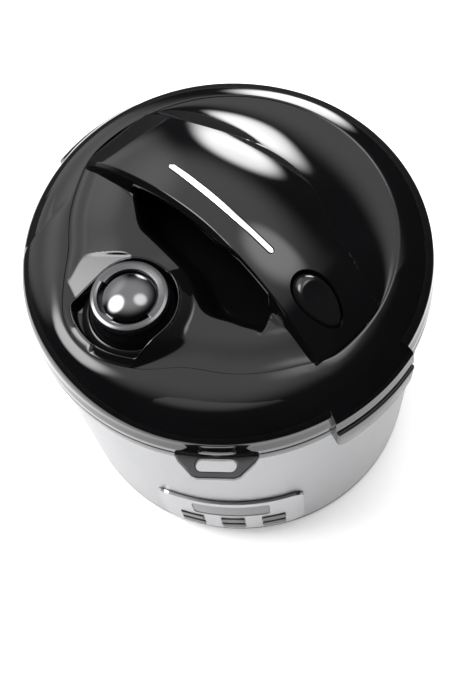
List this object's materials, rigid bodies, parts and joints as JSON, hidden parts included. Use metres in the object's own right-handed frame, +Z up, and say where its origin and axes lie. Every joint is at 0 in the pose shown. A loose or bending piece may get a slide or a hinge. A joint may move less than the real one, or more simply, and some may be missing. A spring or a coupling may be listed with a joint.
{
  "type": "electric pressure cooker",
  "caption": "Round electric pressure cooker with a twist-off bayonet lid, bridge handle with release button, steam valve and control panel.",
  "frame": {"origin": "on the cooker's vertical axis, at the underside of its feet", "axes": "+Z up, the slotted tab and the control panel face -Y, the condensate cup and power inlet +Y"},
  "size_m": [0.31, 0.339, 0.3033],
  "materials": {
    "gloss_black": "high gloss moulded black plastic",
    "satin_black": "fine satin black plastic",
    "dark_grey": "semi-gloss dark grey plastic",
    "shell_metal": "satin silver metal shell",
    "polished_steel": "polished stainless steel",
    "plain_steel": "plain steel",
    "chrome_trim": "bright chrome trim",
    "cast_aluminium": "plain aluminium",
    "silicone": "translucent white silicone rubber",
    "foot_rubber": "matte black rubber",
    "circuit_board": "green board lacquer",
    "clear_plastic": "clear tinted plastic",
    "brass": "plain brass"
  },
  "bodies": {
    "base": {"bottom_cover": "satin_black", "foot_1": "foot_rubber", "foot_2": "foot_rubber", "foot_3": "foot_rubber", "foot_4": "foot_rubber", "bottom_screw_1": "plain_steel", "bottom_screw_2": "plain_steel", "bottom_screw_3": "plain_steel", "bottom_screw_4": "plain_steel", "outer_shell": "shell_metal", "base_rim": "dark_grey", "lock_ring": "plain_steel", "inner_pot": "polished_steel", "heat_shield": "cast_aluminium", "heating_plate": "cast_aluminium", "sensor_spring": "plain_steel", "control_panel": "gloss_black", "display_window": "clear_plastic", "control_board": "circuit_board", "power_relay": "satin_black", "transformer": "dark_grey", "power_inlet": "satin_black", "inlet_pin_1": "brass", "inlet_pin_2": "brass", "inlet_pin_3": "brass", "cup_bracket": "satin_black"},
    "sensor": {"temperature_sensor": "cast_aluminium"},
    "cup": {"condensate_cup": "clear_plastic"},
    "seal": {"sealing_ring": "silicone", "seal_support_ring": "plain_steel"},
    "lid": {"lid_cover": "gloss_black", "lid_handle": "gloss_black", "handle_strip": "chrome_trim", "lid_plate": "polished_steel", "lid_screw_1": "polished_steel", "lid_screw_2": "polished_steel", "lid_screw_3": "polished_steel", "lid_screw_4": "polished_steel", "valve_stem": "polished_steel", "valve_nut": "brass", "filter_cap": "polished_steel", "lever_bracket": "satin_black", "lever_pin": "polished_steel", "button_spring": "plain_steel"},
    "steam_valve": {"valve_knob": "gloss_black", "valve_cap": "chrome_trim"},
    "float": {"float_valve": "polished_steel", "float_gasket": "silicone"},
    "button": {"release_button": "gloss_black"},
    "lever": {"lock_lever": "plain_steel"},
    "pin": {"lock_pin": "polished_steel"},
    "key_1": {"key_1": "satin_black"},
    "key_2": {"key_2": "satin_black"},
    "key_3": {"key_3": "satin_black"},
    "key_4": {"key_4": "satin_black"},
    "key_5": {"key_5": "satin_black"},
    "key_6": {"key_6": "satin_black"}
  },
  "joints": [
    {"name": "lid_lift", "type": "slide", "parent": "base", "child": "seal", "axis": [0, 0, 1], "range_m": [0, 0.16]},
    {"name": "lid_turn", "type": "hinge", "parent": "seal", "child": "lid", "pos_m": [0, 0, 0.225], "axis": [0, 0, -1], "range_deg": [0, 30]},
    {"name": "valve_turn", "type": "hinge", "parent": "lid", "child": "steam_valve", "pos_m": [-0.06022, -0.05856, 0.27], "axis": [0, 0, 1], "range_deg": [0, 45]},
    {"name": "float_rise", "type": "slide", "parent": "lid", "child": "float", "axis": [0, 0, 1], "range_m": [0, 0.0055]},
    {"name": "button_press", "type": "slide", "parent": "lid", "child": "button", "axis": [0, 0, -1], "range_m": [0, 0.004], "stiffness_N_per_m": 400, "springref_m": -0.002, "deforming": ["button_spring"]},
    {"name": "lever_tilt", "type": "hinge", "parent": "lid", "child": "lever", "pos_m": [0.08262, -0.07565, 0.2483], "axis": [-0.6884, -0.7254, 0], "range_deg": [0, 12.5]},
    {"name": "pin_lift", "type": "slide", "parent": "lid", "child": "pin", "axis": [0, 0, 1], "range_m": [0, 0.0041]},
    {"name": "sensor_travel", "type": "slide", "parent": "base", "child": "sensor", "axis": [0, 0, -1], "range_m": [0, 0.003], "stiffness_N_per_m": 300, "springref_m": -0.002, "deforming": ["sensor_spring"]},
    {"name": "cup_slide", "type": "slide", "parent": "base", "child": "cup", "axis": [0, 0, -1], "range_m": [0, 0.06]},
    {"name": "key_1_press", "type": "slide", "parent": "base", "child": "key_1", "axis": [0.225, 0.9744, 0], "range_m": [0, 0.0008], "stiffness_N_per_m": 800, "springref_m": -0.0005},
    {"name": "key_2_press", "type": "slide", "parent": "base", "child": "key_2", "axis": [0, 1, 0], "range_m": [0, 0.0008], "stiffness_N_per_m": 800, "springref_m": -0.0005},
    {"name": "key_3_press", "type": "slide", "parent": "base", "child": "key_3", "axis": [-0.225, 0.9744, 0], "range_m": [0, 0.0008], "stiffness_N_per_m": 800, "springref_m": -0.0005},
    {"name": "key_4_press", "type": "slide", "parent": "base", "child": "key_4", "axis": [0.225, 0.9744, 0], "range_m": [0, 0.0008], "stiffness_N_per_m": 800, "springref_m": -0.0005},
    {"name": "key_5_press", "type": "slide", "parent": "base", "child": "key_5", "axis": [0, 1, 0], "range_m": [0, 0.0008], "stiffness_N_per_m": 800, "springref_m": -0.0005},
    {"name": "key_6_press", "type": "slide", "parent": "base", "child": "key_6", "axis": [-0.225, 0.9744, 0], "range_m": [0, 0.0008], "stiffness_N_per_m": 800, "springref_m": -0.0005}
  ],
  "couplings": [
    {"joint": "lever_tilt", "follows": "button_press", "rad_per_m": 52.63},
    {"joint": "pin_lift", "follows": "button_press", "ratio": 1}
  ]
}
